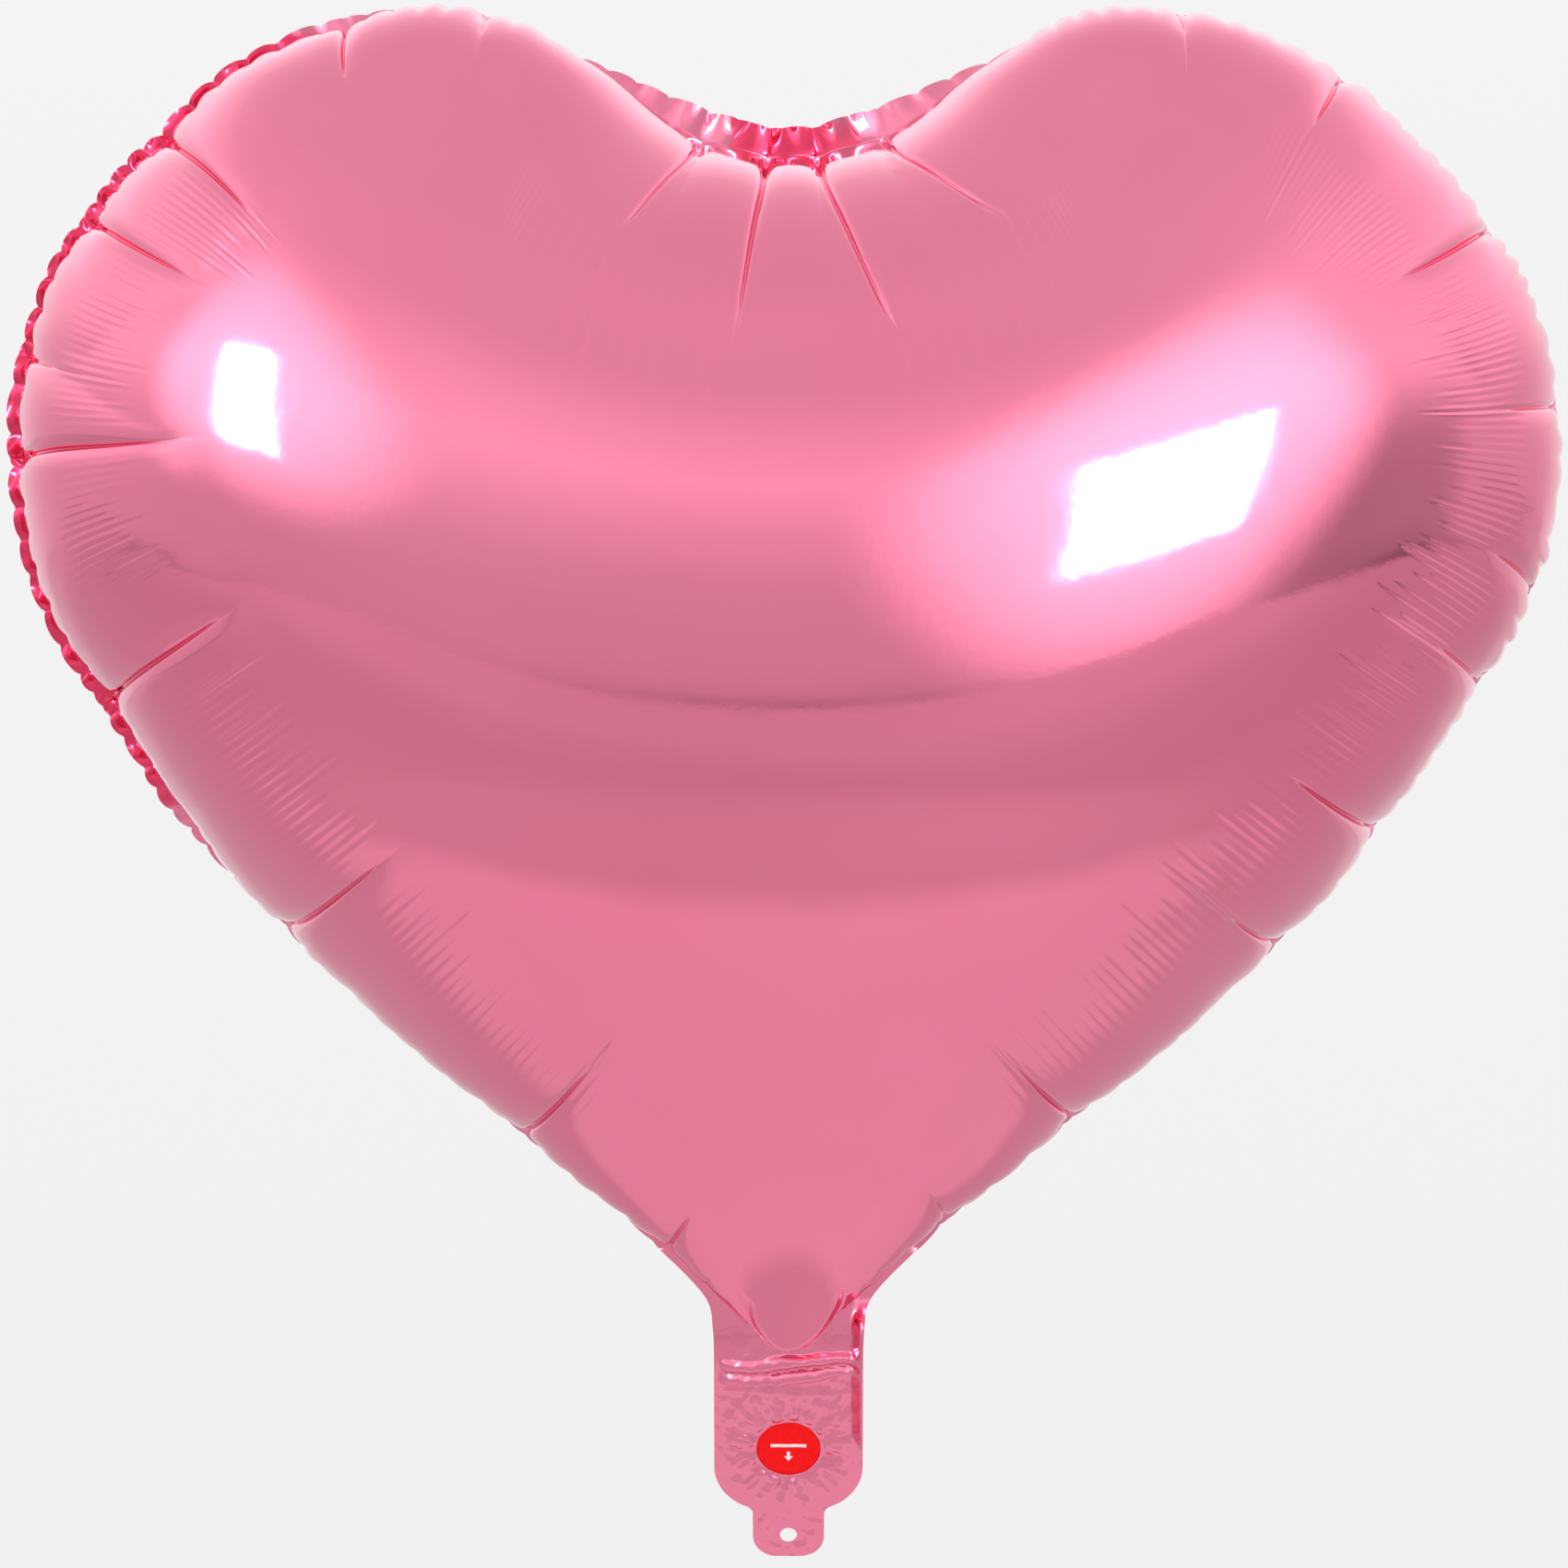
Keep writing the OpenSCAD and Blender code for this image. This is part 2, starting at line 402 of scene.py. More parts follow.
def lattice(outer, step, holes=()):
    """Triangles over a flat region: the loops' own points, and a hexagonal lattice between them."""
    room = 0.6 * step
    low, high = outer.min(0), outer.max(0)
    columns = int(math.ceil((high[0] - low[0]) / step / 2)) + 2
    middle = (low[0] + high[0]) / 2
    rows = np.arange(low[1] + step / 2, high[1], step * math.sqrt(3) / 2)
    grid = np.array([(middle + (i + 0.5 * (j % 2)) * step, z)
                     for j, z in enumerate(rows) for i in range(-columns, columns + 1)])
    keep = inside(grid, outer) & (loop_distance(grid, outer) > room)
    for hole in holes:
        keep &= ~inside(grid, hole) & (loop_distance(grid, hole) > room)
    points, edges = [], []
    for loop in (outer, *holes):
        first = len(points)
        points += [Vector(p) for p in loop]
        edges += [(first + k, first + (k + 1) % len(loop)) for k in range(len(loop))]
    points += [Vector(p) for p in grid[keep]]
    verts, _, faces, *_ = delaunay_2d_cdt(points, edges, [], 1, 1e-9)
    verts = np.array([(v.x, v.y) for v in verts])
    faces = np.array(faces)
    centres = verts[faces].mean(1)
    for hole in holes:
        faces = faces[~inside(centres, hole)]
        centres = verts[faces].mean(1)
    return verts, faces


# --- blowing the balloon up


def vertex_normals(co, tris):
    """Area-weighted vertex normals, not normalised."""
    a, b, c = co[tris[:, 0]], co[tris[:, 1]], co[tris[:, 2]]
    face = np.cross(b - a, c - a) / 6
    out = np.zeros_like(co)
    for k in range(3):
        for axis in range(3):
            out[:, axis] += np.bincount(tris[:, k], face[:, axis], minlength=len(co))
    return out


def edge_groups(edges, count):
    """Groups of edges in which no two share a point, so that a group moves at once."""
    order = np.random.default_rng(1)
    left = np.arange(len(edges))
    groups = []
    while len(left):
        left = order.permutation(left)
        rank = np.arange(len(left))
        first = np.full(count, len(left))
        np.minimum.at(first, edges[left, 0], rank)
        np.minimum.at(first, edges[left, 1], rank)
        chosen = (first[edges[left, 0]] == rank) & (first[edges[left, 1]] == rank)
        groups.append(left[chosen])
        left = left[~chosen]
    return groups


# Rounds of the solver: steps, passes over the edges in each, push in mm and share of speed kept.
# Strong pushes fill the bag quickly, and weak ones then let it settle without stretch.
ROUNDS = ((90, 20, 0.4, 0.88), (30, 40, 0.1, 0.8), (20, 60, 0.03, 0.8))
FIRST_GAP = 2 * MM


def inflate(loop, step):
    """Blows up two flat films sealed round the loop. Their edges resist stretch and not shortening.

    Returns the flat points and the front film's inflated points."""
    outline = resample(loop, int(round(perimeter(loop) / step)))
    flat, faces = lattice(outline, step)
    rim = np.arange(len(flat)) < len(outline)
    count = len(flat)
    back = np.arange(count)
    back[~rim] = count + np.arange((~rim).sum())
    co = np.zeros((count + (~rim).sum(), 3))
    co[:count, [0, 2]] = flat
    co[back] = co[:count]
    tris = np.vstack([faces, back[faces][:, ::-1]])
    side = np.zeros(len(co))
    side[:count][~rim] = -1
    side[count:] = 1
    edges = np.vstack([tris[:, [0, 1]], tris[:, [1, 2]], tris[:, [2, 0]]])
    edges.sort(1)
    edges = np.unique(edges, axis=0)
    rest = np.linalg.norm(co[edges[:, 0]] - co[edges[:, 1]], axis=1)
    groups = [(edges[g, 0], edges[g, 1], rest[g]) for g in edge_groups(edges, len(co))]
    share = np.median(np.linalg.norm(vertex_normals(co, tris), axis=1))
    co[:, 1] += side * FIRST_GAP
    outward = np.sign((vertex_normals(co, tris)[:, 1] * side).sum())
    for steps, passes, push, kept in ROUNDS:
        speed = np.zeros_like(co)
        for _ in range(steps):
            normals = vertex_normals(co, tris) * outward / share
            speed = speed * kept + normals * push * MM
            before = co.copy()
            co = co + speed
            for _ in range(passes):
                for i, j, length in groups:
                    gap = co[j] - co[i]
                    now = np.sqrt((gap * gap).sum(1))
                    excess = np.maximum(now - length, 0)
                    shift = gap * (0.5 * excess / np.maximum(now, 1e-12))[:, None]
                    co[i] += shift
                    co[j] -= shift
            speed = co - before
    return flat, (co[:count] + co[back] * [1, -1, 1]) / 2


# The middle of the film, beyond TAUT from the seal, is fitted by one polynomial of this degree
TAUT = 18 * MM
DEGREE = 6
# The near fit starts to give way to the polynomial this far from the seal, and over this width
BLEND_START = 22 * MM
BLEND_WIDTH = 50 * MM


def powers(flat, odd):
    """Powers of the flat point's x and z, with only even, or only odd, powers of x."""
    u, v = flat[:, 0] / (200 * MM), flat[:, 1] / (200 * MM) - 0.75
    return np.stack([u ** i * v ** j for i in range(int(odd), DEGREE + 1, 2)
                     for j in range(DEGREE + 1 - i)], 1)


def smooth_surface(flat, co, loop, step):
    """A function from flat points to a smooth surface through the solver's result.

    Near the seal each point is a weighted quadratic fit to its neighbours, with the back film,
    turned over the seal's line, carrying the surface on past it. The taut middle is one polynomial."""
    distance, foot = nearest_on_loop(flat, loop)
    close = (distance < 3.2 * step) & (distance > 0.05 * step)
    samples = np.vstack([flat, 2 * foot[close] - flat[close]])
    values = np.vstack([co, co[close] * [1, -1, 1]])
    tree = KDTree(len(samples))
    for i, p in enumerate(samples):
        tree.insert((p[0], p[1], 0), i)
    tree.balance()
    taut = distance > TAUT
    fits = [np.linalg.lstsq(powers(flat[taut], k == 0), co[taut, k], rcond=None)[0] for k in range(3)]
    neighbours, sigma = 26, 1.25 * step

    def surface(points):
        found = np.array([[i for _, i, _ in tree.find_n((p[0], p[1], 0), neighbours)] for p in points])
        offset = (samples[found] - points[:, None]) / sigma
        weight = np.exp(-(offset ** 2).sum(2))
        x, y = offset[..., 0], offset[..., 1]
        basis = np.stack([np.ones_like(x), x, y, x * x, x * y, y * y], 2)
        scaled = basis * weight[..., None]
        left = np.einsum("nki,nkj->nij", scaled, basis) + 1e-9 * np.eye(6)
        right = np.einsum("nki,nkc->nic", scaled, values[found])
        near = np.linalg.solve(left, right)[:, 0]
        middle = np.stack([powers(points, k == 0) @ fits[k] for k in range(3)], 1)
        share = smoothstep((loop_distance(points, loop) - BLEND_START) / BLEND_WIDTH)[:, None]
        return near * (1 - share) + middle * share

    return surface


# How fast the heart thins, per metre above the crown
CROWN_SLOPE = 0.63
# Share of the thickness left at the pointed end, and the height at which all of it is back
FOOT_SHARE = 0.16
FOOT_HEIGHT = 140 * MM
FOOT_POWER = 0.65


def settle(co):
    """Brings the crown down to its level and draws the pointed end out flat toward the neck."""
    z = co[:, 2]
    co[:, 1] *= 1 - CROWN_SLOPE * (z - CROWN_Z)
    co[:, 1] *= FOOT_SHARE + (1 - FOOT_SHARE) * smoothstep(z / FOOT_HEIGHT) ** FOOT_POWER
    return co


# Changes to the outline, as shares of the distance from this height on the middle line. In degrees
# above level, the shoulder's has a middle and a width, and the side's a top, a bottom and a width.
TRIM_CENTRE = 170 * MM
SHOULDER_TRIM = (-0.042, 33, 10)
SIDE_TRIM = (0.010, -8, -56, 14)


def trim(co):
    """Draws the lobes' shoulders in and lets the lower sides out, most at the seal."""
    x, z = np.abs(co[:, 0]), co[:, 2] - TRIM_CENTRE
    angle, r = np.degrees(np.arctan2(z, x)), np.hypot(x, z)
    order = np.argsort(angle[:COLUMNS])
    rim = np.interp(angle, angle[:COLUMNS][order], r[:COLUMNS][order])
    change, middle, width = SHOULDER_TRIM
    shoulder = change * np.exp(-((angle - middle) / width) ** 2)
    change, top, bottom, width = SIDE_TRIM
    side = change * smoothstep((top - angle) / width) * smoothstep((angle - bottom) / width)
    scale = 1 + (shoulder + side) * (r / rim) ** 2
    co[:, 0] *= scale
    co[:, 2] = TRIM_CENTRE + z * scale
    return co


# --- the gathers round the seal

# Creases that run in from the seal, for the right (+1) and the left (-1) half: share of the half rim
# from the neck to the notch, length as seen from the front in mm, depth in mm, and sideways lean
CREASES = {
    +1: ((0.03, 8, 1.2, 0), (0.09, 6, 1.0, 0), (0.15, 22, 2.2, 0), (0.26, 15, 2.0, 0), (0.33, 26, 2.4, 0),
         (0.42, 14, 1.8, 0), (0.475, 14, 1.8, 0), (0.55, 14, 1.8, 0), (0.645, 27, 2.6, 0),
         (0.75, 16, 2.2, 0), (0.825, 7, 1.4, 0), (0.966, 38, 1.9, -0.36), (0.990, 55, 2.3, -0.165)),
    -1: ((0.02, 9, 1.2, 0), (0.07, 10, 1.2, 0), (0.14, 25, 2.2, 0), (0.27, 31, 2.5, 0), (0.41, 38, 2.6, 0),
         (0.53, 40, 2.6, 0), (0.57, 9, 1.4, 0), (0.65, 30, 2.6, 0), (0.71, 30, 2.4, 0), (0.80, 14, 2.2, 0),
         (0.87, 6, 1.2, 0), (0.968, 32, 1.9, -0.19), (0.992, 53, 2.3, -0.04)),
}

# Fine ripples on the pillows' inner slopes: side, from and to share, from and to mm, height in mm
RIPPLES = (
    (-1, 0.07, 0.26, 12, 32, 0.26), (-1, 0.27, 0.40, 14, 32, 0.26), (-1, 0.42, 0.53, 10, 27, 0.08),
    (-1, 0.53, 0.65, 8, 26, 0.08), (-1, 0.65, 0.72, 8, 34, 0.13), (-1, 0.90, 1.00, 26, 62, 0.12),
    (+1, 0.09, 0.33, 10, 30, 0.26), (+1, 0.33, 0.47, 9, 29, 0.26), (+1, 0.47, 0.64, 8, 28, 0.12),
    (+1, 0.64, 0.78, 16, 36, 0.06), (+1, 0.90, 1.00, 26, 62, 0.12),
)
RIPPLE_PITCH = 3.1 * MM
# Least and greatest length of a scallop, and its height
SCALLOPS = (7.5 * MM, 13.5 * MM)
SCALLOP_HEIGHT = 1.9 * MM


def half_share(place, length):
    """Each place's share of the half rim, from 0 at the neck to 1 at the notch."""
    return np.minimum(place, length - place) / (length / 2)


def crease_list(length):
    """Place along the rim, seen length, depth and lean of every crease, in order round the rim."""
    half = length / 2
    rows = []
    for side, creases in CREASES.items():
        for share, reach, deep, lean in creases:
            where = share * half if side > 0 else length - share * half
            rows.append((where, reach * MM, deep * MM, side * lean))
    return np.array(sorted(rows)).T


def arches(place, knots):
    """Arches between knots along the rim: 1 at mid-span and 0 at each knot.

    Also returns each place's span and how far along it the place is."""
    span = np.clip(np.searchsorted(knots, place, side="right") - 1, 0, len(knots) - 2)
    t = (place - knots[span]) / (knots[span + 1] - knots[span])
    return 4 * t * (1 - t), span, t


def scallop_knots(length):
    """Places where the scallops meet, and a random size for each."""
    draw = np.random.default_rng(11)
    knots = [0.0]
    while knots[-1] < length:
        knots.append(knots[-1] + draw.uniform(*SCALLOPS))
    knots = np.array(knots)
    return knots * length / knots[-1], draw.uniform(0.6, 1.2, len(knots))


def pillows(place, seen, length, where, reach, calm):
    """Height of the pillows between neighbouring creases. Their inner edge joins the creases' ends."""
    knots = np.concatenate([[where[-1] - length], where, [where[0] + length]])
    ends = np.concatenate([[reach[-1]], reach, [reach[0]]])
    arch, span, t = arches(place, knots)
    width = knots[span + 1] - knots[span]
    inner = np.maximum(ends[span] * (1 - t) + ends[span + 1] * t, 12 * MM) + 0.06 * width
    across = np.clip(np.sqrt(seen / inner), 0, 1)
    tall = np.clip(0.045 * width, 0.4 * MM, 2.6 * MM) * calm
    return tall * (0.25 + 0.75 * arch ** 0.6) * np.sin(np.pi * across ** 0.9)


def scallops(place, depth, length, calm):
    """Height of the scallops at the seal. They fade inward, near the notch and on the lower sides."""
    knots, sizes = scallop_knots(length)
    arch, span, _ = arches(place, knots)
    share = half_share(place, length)
    fade = np.exp(-(np.maximum(depth - 3 * MM, 0) / (9 * MM)) ** 2) * smoothstep(depth / (3 * MM))
    few = 1 - 0.55 * smoothstep((0.45 - share) / 0.15)
    few = few * (1 - smoothstep((share - 0.88) / 0.04)) * calm
    return few * SCALLOP_HEIGHT * sizes[span] * (arch ** 0.55 - 0.5) * fade


def valleys(place, seen, length, creases):
    """Depth of the creases: sharp valleys with a soft trough round each, deepest near the seal."""
    half = length / 2
    out = np.zeros_like(place)
    for at, long, down, slant in creases:
        off = (place - at - slant * seen + half) % length - half
        along = np.clip(1 - seen / long, 0, 1)
        wide = (0.28 + 0.30 * along) * MM
        out += down * (0.3 + 0.7 * along) * smoothstep(along / 0.25) * np.exp(-np.abs(off) / wide)
        out += 0.3 * down * along ** 0.6 * np.exp(-(off / (4 * MM)) ** 2)
    return out


def ripples(place, seen, length, draw):
    """Height of the fine ripples, which run in from the seal side by side."""
    half = length / 2
    phase = 2 * np.pi * place / RIPPLE_PITCH
    for k, start in enumerate(draw.uniform(0, 2 * np.pi, 6)):
        phase = phase + 0.3 * np.sin(8 * np.pi * place * (2 + 3 * k) / length + start)
    ragged = 1 + 0.16 * np.sin(phase * 0.37 + 1.0) + 0.1 * np.sin(phase * 0.141)
    wave = np.sin(phase)
    out = np.zeros_like(place)
    for side, low, high, near, far, tall in RIPPLES:
        here = place / half if side > 0 else (length - place) / half
        mask = smoothstep((here - low) / 0.02) * smoothstep((high - here) / 0.02)
        mask *= smoothstep((seen - near * MM) / (5 * MM))
        mask *= smoothstep((far * MM * ragged - seen) / (5 * MM))
        out += tall * MM * mask * wave
    return out


def gather(place, depth, seen, length, film):
    """How far each point stands out from the smooth surface, in metres.

    place runs along the rim, depth is the distance in from it on the flat film and seen is the same
    distance as seen from the front. film picks the front (0) or the back (1) film."""
    draw = np.random.default_rng(21 + film)
    where, reach, deep, lean = crease_list(length)
    if film:
        reach = reach * draw.uniform(0.7, 1.3, len(reach))
    calm = smoothstep((half_share(place, length) - 0.02) / 0.05)
    out = pillows(place, seen, length, where, reach, calm)
    out += scallops(place, depth, length, calm)
    out -= valleys(place, seen, length, zip(where, reach, deep, lean))
    return out + ripples(place, seen, length, draw)


def seal_pull(place, length):
    """In-plane shift of the seal's line toward the middle, in metres: most at the creases."""
    half = length / 2
    out = np.zeros_like(place)
    for at, _, down, _ in crease_list(length).T:
        off = (place - at + half) % length - half
        out -= 0.4 * down * np.exp(-np.abs(off) / (3 * MM))
    knots, sizes = scallop_knots(length)
    arch, span, _ = arches(place, knots)
    clear = smoothstep((half_share(place, length) - 0.05) / 0.05)
    return out + 0.6 * MM * sizes[span] * (arch ** 0.7 - 1) * clear


# --- mesh of one heart film

# Depth of the band of rows that follow the seal: the least, the usual and the one at the notch
LEAST_BAND = 12 * MM
BAND = 92 * MM
NOTCH_BAND = 150 * MM
# On the flat film, the notch is above this height and the pointed end is below twice this one
NOTCH_LEVEL = 200 * MM
POINT_LEVEL = 60 * MM
COLUMNS = 1760
BAND_ROWS = 46
FLANGE_ROWS = 12
# Gaps before the rows that halve the number of columns, as shares of the band's depth
STITCHES = (0.030, 0.038)
INNER_STEP = 3.5 * MM
# How close to a crease the columns are drawn together, at the seal and at the band's last row
CROWDED = 1.4 * MM
SPREAD = 22 * MM
# Radius of the front film's curve down from the notch
NOTCH_ROUND = 102 * MM


def along_loop(loop, values, place):
    """Values given at evenly spaced points of a loop, read off at other places along it."""
    steps = np.arange(len(loop) + 1) * (perimeter(loop) / len(loop))
    closed = np.vstack([values, values[:1]])
    return np.stack([np.interp(place, steps, column) for column in closed.T], 1)


def column_lean(place, depth, length):
    """How far the columns at these places have moved along the rim to follow the leaning creases."""
    where, reach, _, lean = crease_list(length)
    long = np.interp(place, where, reach, period=length)
    seen = NOTCH_ROUND * (1 - np.cos(np.minimum(depth / NOTCH_ROUND, math.pi / 2)))
    return np.interp(place, where, lean, period=length) * np.minimum(seen, long)


def column_places(length, width):
    """Places of the mesh's columns along the rim, drawn together within this width of each crease."""
    fine = np.linspace(0, length, 20000)
    density = np.ones_like(fine)
    half = length / 2
    density += 0.7 * np.exp(-((fine - half) / (40 * MM)) ** 2)
    for at, _, _, lean in crease_list(length).T:
        off = (fine - at + half) % length - half
        density += (5 + 4 * bool(lean)) * MM / width * np.exp(-(off / width) ** 2)
    total = np.concatenate([[0], np.cumsum((density[1:] + density[:-1]) / 2)])
    return np.interp(np.arange(COLUMNS) / COLUMNS * total[-1], total, fine)


def smooth_round(values, passes):
    for _ in range(passes):
        values = (np.roll(values, 1, axis=0) + 2 * values + np.roll(values, -1, axis=0)) / 4
    return values


def band_field(dense):
    """At points round the seal, the direction of the band's columns and the band's depth."""
    out, z = np.abs(dense[:, 0]), dense[:, 1]
    ahead = np.roll(dense, -1, axis=0) - np.roll(dense, 1, axis=0)
    inward = np.stack([-ahead[:, 1], ahead[:, 0]], 1)
    inward /= np.hypot(*inward.T)[:, None]
    # At the pointed end the columns turn upright and stop short of the middle line
    low = 1 - smoothstep((z - POINT_LEVEL) / POINT_LEVEL)
    upright = ((1 - smoothstep((out - 4 * MM) / (40 * MM))) * low)[:, None]
    inward = smooth_round(inward * (1 - upright) + np.array([0, 1.0]) * upright, 40)
    inward /= np.hypot(*inward.T)[:, None]
    room = np.minimum(0.66 * out / np.maximum(np.abs(inward[:, 0]), 0.02), LEAST_BAND + 1.1 * out)
    notch = (1 - smoothstep((out - 8 * MM) / (46 * MM))) * (z > NOTCH_LEVEL)
    room = np.where(z < NOTCH_LEVEL, np.minimum(room, BAND), BAND + (NOTCH_BAND - BAND) * notch)
    return inward, smooth_round(np.clip(room, LEAST_BAND, NOTCH_BAND), 60)


def heart_grid(loop):
    """Flat points and faces: rows that follow the seal, then a lattice over the middle.

    Returns the points, quads, triangles, and the place, depth and row share of each band point."""
    length = perimeter(loop)
    dense = resample(loop, 2400)
    inward, depth = band_field(dense)
    parts = np.column_stack([dense, inward, depth])
    crowded, apart = column_places(length, CROWDED), column_places(length, SPREAD)

    def row_points(share):
        """A row's points, places and depths. The columns spread out evenly toward the last row."""
        spread = smoothstep((share - 0.74) / 0.26)
        place = crowded * (1 - spread) + apart * spread
        reach = along_loop(dense, depth[:, None], place)[:, 0] * share
        place = (place + column_lean(place, reach, length)) % length
        part = along_loop(dense, parts, place)
        return part[:, :2] + part[:, 2:4] * part[:, 4:] * share, place, part[:, 4] * share

    t = np.arange(BAND_ROWS + 1) / BAND_ROWS
    rows = 0.45 * t + 0.55 * t * t
    points, places, depths = (list(part) for part in zip(*[row_points(r) for r in rows]))
    quads = []
    for r in range(BAND_ROWS):
        a = r * COLUMNS + np.arange(COLUMNS)
        b = r * COLUMNS + (np.arange(COLUMNS) + 1) % COLUMNS
        quads.append(np.stack([a, b, b + COLUMNS, a + COLUMNS], 1))
    # Each stitched row halves the number of columns
    tris = []
    first, count, reach = BAND_ROWS * COLUMNS, COLUMNS, 1.0
    for gap in STITCHES:
        reach += gap
        points.append(row_points(reach)[0][::2 * COLUMNS // count])
        new = first + count
        k = np.arange(count // 2)
        a, b, c = first + 2 * k, first + 2 * k + 1, first + (2 * k + 2) % count
        p, q = new + k, new + (k + 1) % (count // 2)
        tris += [np.stack([a, b, p], 1), np.stack([b, q, p], 1), np.stack([b, c, q], 1)]
        first, count = new, count // 2
    band = np.vstack(points)
    inner, faces = lattice(band[first:first + count], INNER_STEP)
    index = np.concatenate([first + np.arange(count), len(band) + np.arange(len(inner) - count)])
    tris.append(index[faces])
    marks = np.concatenate(places), np.concatenate(depths), np.repeat(rows, COLUMNS)
    return np.vstack([band, inner[count:]]), np.vstack(quads), np.vstack(tris), marks


def make_mesh(name, co, faces, material):
    """A smooth-shaded mesh piece with one material."""
    mesh = bpy.data.meshes.new(name)
    mesh.from_pydata([tuple(p) for p in co], [], [tuple(int(i) for i in f) for f in faces])
    mesh.update()
    mesh.polygons.foreach_set("use_smooth", [True] * len(mesh.polygons))
    mesh.materials.append(material)
    return placed(name, mesh)


# --- neck, fold and tail surfaces

FOLD_RUN = 5 * MM
FOLD_RADIUS = FOLD_RUN / math.tan(TAIL_TILT / 2)
# Below the fold's middle, the heart's films end at NECK_END and the tail's films start at TAIL_TOP.
# The fold's films reach from just above the one to just below the other.
NECK_END = 1.2 * MM
FOLD_FILMS = 0.2 * MM, 12.4 * MM
TAIL_TOP = 11.5 * MM
# Distance of each film from the seam's plane, where the two have parted and where they are sealed
SHEET_GAP = 0.34 * MM
SEAL_GAP = 0.03 * MM


def film_point(x, t, lift):
    """A point on the film: x across, t below the fold's middle, and lift toward the front.

    The film is upright above the fold, tilted below it, and follows an arc between."""
    a = TAIL_TILT * np.clip((t + FOLD_RUN) / (2 * FOLD_RUN), 0, 1)
    above = np.maximum(-FOLD_RUN - t, 0)
    below = np.maximum(t - FOLD_RUN, 0)
    y = -FOLD_RADIUS * (1 - np.cos(a)) + below * DOWN[1] - np.cos(a) * lift
    z = FOLD_RUN - FOLD_RADIUS * np.sin(a) + above + below * DOWN[2] + np.sin(a) * lift
    return np.stack([x, y, z], 1)


# Folds of the crumpled film: radians per mm across and down, phase in radians and height in mm. The
# ones taller than COARSE reach above the fold.
CRUMPLES = ((0.55, 0.34, 0.3, 0.24), (-0.42, 0.62, 1.7, 0.20), (0.95, -0.55, 2.6, 0.10),
            (-1.10, -0.80, 4.1, 0.08), (1.50, 0.95, 5.0, 0.04), (-0.40, 1.60, 0.9, 0.04))
COARSE = 0.15
# Height in mm of the waves that point at the inlet
STAR_HEIGHT = 0.36


def crumple(x, t):
    """Standing height of the tail's crumpled film, in metres. All the tail's layers share it."""
    x, t = x / MM, t / MM
    drop = t - INLET_DROP / MM
    r = np.hypot(x, drop)
    a = np.arctan2(x, drop)
    star = np.sin(13 * a + 1.4 * np.sin(2 * a + 0.4)) + 0.6 * np.sin(8 * a + 1.9 * np.sin(3 * a) + 1)
    ring = smoothstep((r - 7.4) / 2.6) * (1 - smoothstep((r - 10.5) / 7.0))
    out = STAR_HEIGHT * star * ring
    for across, down, start, tall in CRUMPLES:
        bend = 0.8 * np.sin(0.23 * x + 0.17 * t + start)
        ridge = np.sin(across * x + down * t + start + bend)
        fade = 1 if tall > COARSE else smoothstep((t - 1) / 2)
        clear = 0.4 + 0.6 * smoothstep((r - 6) / 3)
        out += tall * (0.55 - np.sqrt(ridge * ridge + 0.1)) * clear * fade
    return out * smoothstep((t + 7) / 6) * MM


# Height in mm of the pleats, and distance of the line pressed in below them from the fold
PLEAT_HEIGHT = 2.0
PLEAT_LINE = 13.4


def pleats(x, t):
    """How far the film bunched up at the fold stands out on its own side, in metres.

    Two pleats lie between a top line that rises to the right and a bottom line that ends higher there."""
    x, t = x / MM, t / MM
    top = 2.0 - 0.08 * x + 0.3 * np.sin(0.41 * x)
    bottom = 11.6 - 4.0 * smoothstep((x - 5) / 10) + 0.4 * np.sin(0.33 * x + 2)
    u = (t - top) / (bottom - top)
    band = smoothstep(u / 0.10) * smoothstep((1 - u) / 0.10) * smoothstep((11.3 - t) / 1.2)
    ridge = np.abs(np.sin(2 * np.pi * (u + 0.10 * np.sin(0.25 * x + 0.6))))
    line = np.exp(-np.abs(t - PLEAT_LINE - 0.5 * np.sin(0.16 * x + 0.5)) / 0.5)
    return ((PLEAT_HEIGHT + 0.4 * np.sin(0.21 * x + 1)) * band * ridge ** 0.9 + 0.3 * line) * MM


# Number, depth and half width in mm of the short creases round the inlet, and height of their rise
PUCKERS = 34
PUCKER_DEPTH = 0.55
PUCKER_WIDTH = 0.36
PUCKER_RISE = 0.6


def puckers(x, t):
    """How far a film stands out on its own side round the inlet, where short creases point at it."""
    x, drop = x / MM, (t - INLET_DROP) / MM
    r = np.hypot(x, drop)
    out = PUCKER_RISE * smoothstep((r - 8.2) / 1.5) * (1 - smoothstep((r - 15) / 6))
    draw = np.random.default_rng(5)
    for k in range(PUCKERS):
        turn = 2 * np.pi * (k + draw.uniform(-0.35, 0.35)) / PUCKERS
        near, long = draw.uniform(8.6, 13.0), draw.uniform(3.0, 7.5)
        heading = turn + draw.normal(0, 0.25)
        dx, dt = x - near * np.sin(turn), drop - near * np.cos(turn)
        along = dx * np.sin(heading) + dt * np.cos(heading)
        off = dx * np.cos(heading) - dt * np.sin(heading)
        fade = smoothstep(along / 1.2) * smoothstep((long - along) / 2.5)
        out -= PUCKER_DEPTH * fade * np.exp(-np.abs(off) / PUCKER_WIDTH)
    return np.maximum(out, -0.1) * MM


# How far the tail's right edge curls forward, and the places across and down where it does
CURL = 4.4 * MM
CURL_X = 14.8 * MM
CURL_TOP = -12 * MM
CURL_END = 34 * MM


def opened(edge):
    """How far the two films have parted, from 0 at the sealed edge to 1."""
    return smoothstep((edge - 0.5 * MM) / (3 * MM))


